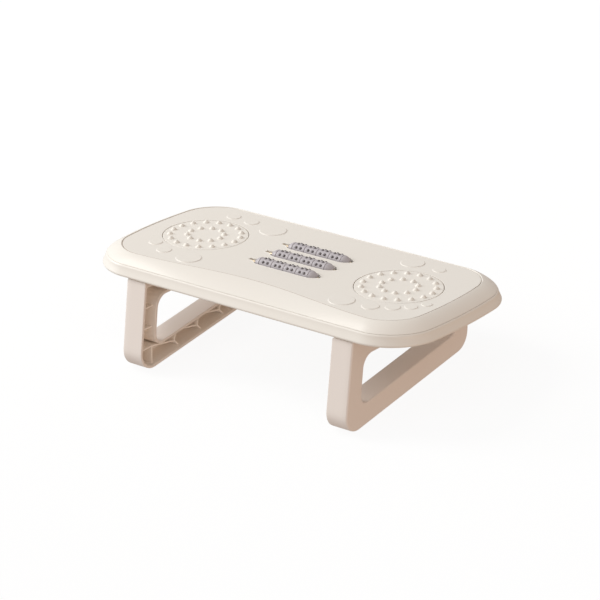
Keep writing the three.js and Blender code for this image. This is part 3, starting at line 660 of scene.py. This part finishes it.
def ring(corners, tops=None):
    """Closed loop in the leg's plane, anticlockwise: each corner, (y, z, radius), is an arc that
    touches both its sides, and each side carries evenly spaced points. The top bar has as many
    as TOP_Y, at the given places where tops says them."""
    c = np.array(corners, float)
    p, r = c[:, :2], c[:, 2]
    back, ahead = np.roll(p, 1, 0) - p, np.roll(p, -1, 0) - p
    back /= np.linalg.norm(back, axis=1)[:, None]
    ahead /= np.linalg.norm(ahead, axis=1)[:, None]
    half = np.arccos((back * ahead).sum(1)) / 2
    bisect = (back + ahead) / np.linalg.norm(back + ahead, axis=1)[:, None]
    mid = bisect * (r / np.sin(half))[:, None] + p
    arcs = []
    for k in range(4):
        a = p[k] + back[k] * r[k] / np.tan(half[k]) - mid[k]
        b = p[k] + ahead[k] * r[k] / np.tan(half[k]) - mid[k]
        a0 = np.arctan2(a[1], a[0])
        w = a0 + (np.arctan2(b[1], b[0]) - a0) % (2 * np.pi) * np.linspace(0, 1, 12)
        arcs.append(mid[k] + r[k] * np.stack([np.cos(w), np.sin(w)], 1))
    loop = []
    for k in range(4):
        a, b = arcs[k][-1], arcs[(k + 1) % 4][0]
        on_top = k == 2
        t = np.linspace(0, 1, (len(TOP_Y) if on_top else 16) + 2)[1:-1]
        if on_top and tops is not None:
            t = (np.array(tops) - a[0]) / (b[0] - a[0])
        loop += [arcs[k], a + (b - a) * t[:, None]]
    return np.concatenate(loop)


def sole(y):
    """Height of the straight sole, which is level when the stool stands."""
    return -100.1 + np.tan(SLOPE) * y


def outer(d):
    """Outer edge of the leg, drawn in by d."""
    return ring([(-109.4 + d, sole(-109.4) + d, max(18 - d, 2)), (94.2 - d, sole(94.2) + d, 19 - d),
                 (97 - d, BAR_TOP - d, 2.5), (-97.6 + d, BAR_TOP - d, 2.5)], TOP_Y)


def window(d):
    """Edge of the leg's window, widened by d."""
    return ring([(-84.2 - d, sole(-84.2) + 22.3 - d * 1.1, 9 + d),
                 (73 + d, sole(73) + 22.3 - d, 8 + d), (74 + d, -40.5 + d, 8 + d),
                 (-78.4 - d, -40.5 + d, 14 + d)])


def tuck(points, room_left=0.0):
    """Keeps the top inner edge inside a circle round the pin, less room_left, so that the leg
    can turn: points nearer the middle than the pin sink to the circle's height."""
    near = np.minimum(PIN_X - points[..., 0], TUCK_R - 0.05)
    cap = PIN_Z + np.sqrt(TUCK_R ** 2 - np.clip(near, 0, None) ** 2) - room_left
    points[..., 2] = np.where(near > 0, np.minimum(points[..., 2], cap), points[..., 2])
    return points


def channel():
    """The leg without its ribs: one closed section of outer wall, web, window wall, lips and
    hollow, carried round the loop. The skin is left out over the two notches for the knuckles,
    and blocks make the notches' sides, backs and floors. Also gives each point of the skin a 1
    where it faces the hollow, which the finish paints paler as painted light."""
    lip = [(0.6, 0.0), (0.25, 0.1), (0.05, 0.35), (0, 0.8)]
    corner = [(0, 1.9), (0.12, 1.2), (0.45, 0.6), (0.95, 0.2), (1.7, 0.0), (2.3, 0.0)]
    fillet = [(WALL, 0.8), (WALL + 0.15, 0.25), (WALL + 0.6, 0.0), (WALL + 1.2, 0.0)]
    across = [1.2, 1.7, 2.3, 3.0, 5.0, 8.0, 12.5, 17.0]
    outside = [(outer, d, LEG_IN + x) for d, x in lip]
    outside += [(outer, 0, LEG_IN + x) for x in across]
    outside += [(outer, d, LEG_OUT - x) for d, x in corner]
    outside += [(window, d, LEG_OUT - x) for d, x in corner[::-1]]
    outside += [(window, 0, LEG_IN + 12)]
    outside += [(window, d, LEG_IN + x) for d, x in lip[::-1]]
    hollow = [(window, WALL - d, LEG_IN + x) for d, x in lip]
    hollow += [(window, d, LEG_OUT - WALL - x) for d, x in fillet]
    hollow += [(outer, d, LEG_OUT - WALL - x) for d, x in fillet[::-1]]
    hollow += [(outer, WALL, LEG_IN + x) for x in across[::-1]]
    hollow += [(outer, WALL - d, LEG_IN + x) for d, x in lip[::-1]]
    # Painted light: 1 on the hollow's faces, which the finish paints paler.
    core = [0] * len(outside) + [0, 0] + [1] * (len(hollow) - 4) + [0, 0]
    rows = []
    for section, room_left in ((outside, 0.0), (hollow, 1.6)):
        for curve, d, x in section:
            yz = curve(d)
            row = np.column_stack([np.full(len(yz), x), yz])
            rows.append(tuck(row, room_left) if curve is outer else row)
    points, faces = skin(rows, closed=True)
    x, y, z = points[np.array(faces)].mean(1).T
    notch = (np.abs(np.abs(y) - PIN_Y) < 6.5) & (z > -28) & (x < LEG_IN + 8)
    parts = [(points, [f for f, cut in zip(faces, notch) if not cut])]
    high, low, mid_x = BAR_TOP - 0.06, -31.3, LEG_IN + 10.65
    mid_z, tall = (high + low) / 2, high - low
    deep, notch_wide = 20.7, 13.6
    for y in (-PIN_Y, PIN_Y):
        for off in (-11.25, 11.25):
            p, f = block((mid_x, y + off, mid_z), (deep, 9.5, tall), 0.3, steps=24)
            parts.append((tuck(p, 0.06), f))
        parts.append(block((LEG_IN + 14.5, y, mid_z), (13.0, notch_wide, tall), 0.2))
        parts.append(block((mid_x, y, low + 1.25), (deep, notch_wide, 2.5), 0.2))
    return parts, np.repeat(core, len(rows[0]))


def rib(ya, za, yb, zb):
    """Stiffening rib between two points of the leg's plane, cut back to where the channel's
    walls take it in, a little thinner at its open edge than at the web."""
    t = np.linspace(0, 1, 400)
    line = np.stack([ya + (yb - ya) * t, za + (zb - za) * t], 1)
    held = line[inside(line, [outer(1.2)]) & ~inside(line, [window(1.2)])]
    a, b = held[0], held[-1]
    long = np.linalg.norm(b - a)
    c, s = (b - a) / long
    x0, x1 = LEG_IN + RIB_IN, LEG_OUT - WALL + 0.6
    return block(((x0 + x1) / 2, *((a + b) / 2)), (long, 1.8, x1 - x0), 0.3,
                 [[0, c, s], [0, -s, c], [1, 0, 0]], 0.2)


# The ribs cross the front and rear bars, meet in the front corner, hang from the top bar, and
# fork along the lower bar.
spans = [(-112, z, -78, z) for z in (-28.5, -50, -71.5)] + [(70, z, 100, z) for z in (-50, -66)]
spans += [(-112, -93.5, -84, -92.5), (-85, sole(-85), -85, -92.8)]
spans += [(y, BAR_TOP, y, -42) for y in (-34, 0, 34)]
for y in (-50, -14, 22, 58):
    fork = sole(y) + 9.6
    spans += [(y - 34, sole(y - 34) + 20.3, y, fork), (y, fork, y + 3, sole(y + 3) + 20.3),
              (y, fork, y + 7.5, sole(y + 7.5) + 1)]
right_leg, core = channel()
right_leg += [rib(*span) for span in spans]
# The notch blocks and the ribs are all painted paler too: painted light in the hollow.
core = np.concatenate([core, np.ones(sum(len(points) for points, _ in right_leg[1:]))])
for side, name in ((-1, "left"), (1, "right")):
    # mirrored for the left, with its faces turned back to point outwards
    parts = [(p * (side, 1, 1), f if side > 0 else [one[::-1] for one in f]) for p, f in right_leg]
    make(f"leg_loop_{name}", f"leg_frame_{name}", [f"leg_{name}"], parts, leg_pp, "leg_plastic",
         core=core)
    for end, y in (("front", -PIN_Y), ("rear", PIN_Y)):
        pin = rod((side * PIN_X, y - PIN_HALF, PIN_Z), (side * PIN_X, y + PIN_HALF, PIN_Z),
                  PIN_R, "y", 0.5)
        make(f"hinge_pin_{name}_{end}", f"leg_frame_{name}", [f"pin_{name}_{end}"], [pin],
             screw_steel, "steel")


# ---- Feet ---------------------------------------------------------------------------------
# Four strips of rubber, two under each leg, die-cut from sheet and glued into shallow seats in
# the soles.
FOOT_X, FOOT_SIZE = 126.0, (34, 15, 1.8)
along_sole = [[0, np.cos(SLOPE), np.sin(SLOPE)], [-1, 0, 0], [0, -np.sin(SLOPE), np.cos(SLOPE)]]

# Sheet rubber is matt and grainy and scatters almost all of its light.
foot_rubber = moulded("sheet_rubber", "#857b72", "#7c736a", 0.80, 0.8, 0.00006)
for side, name in ((-1, "left"), (1, "right")):
    for end, y in (("front", -58.0), ("rear", 50.0)):
        strip = block((side * FOOT_X, y, sole(y)), FOOT_SIZE, 0.35, along_sole)
        make(f"foot_strip_{name}_{end}", f"leg_frame_{name}", [f"foot_{name}_{end}"], [strip],
             foot_rubber, "rubber")
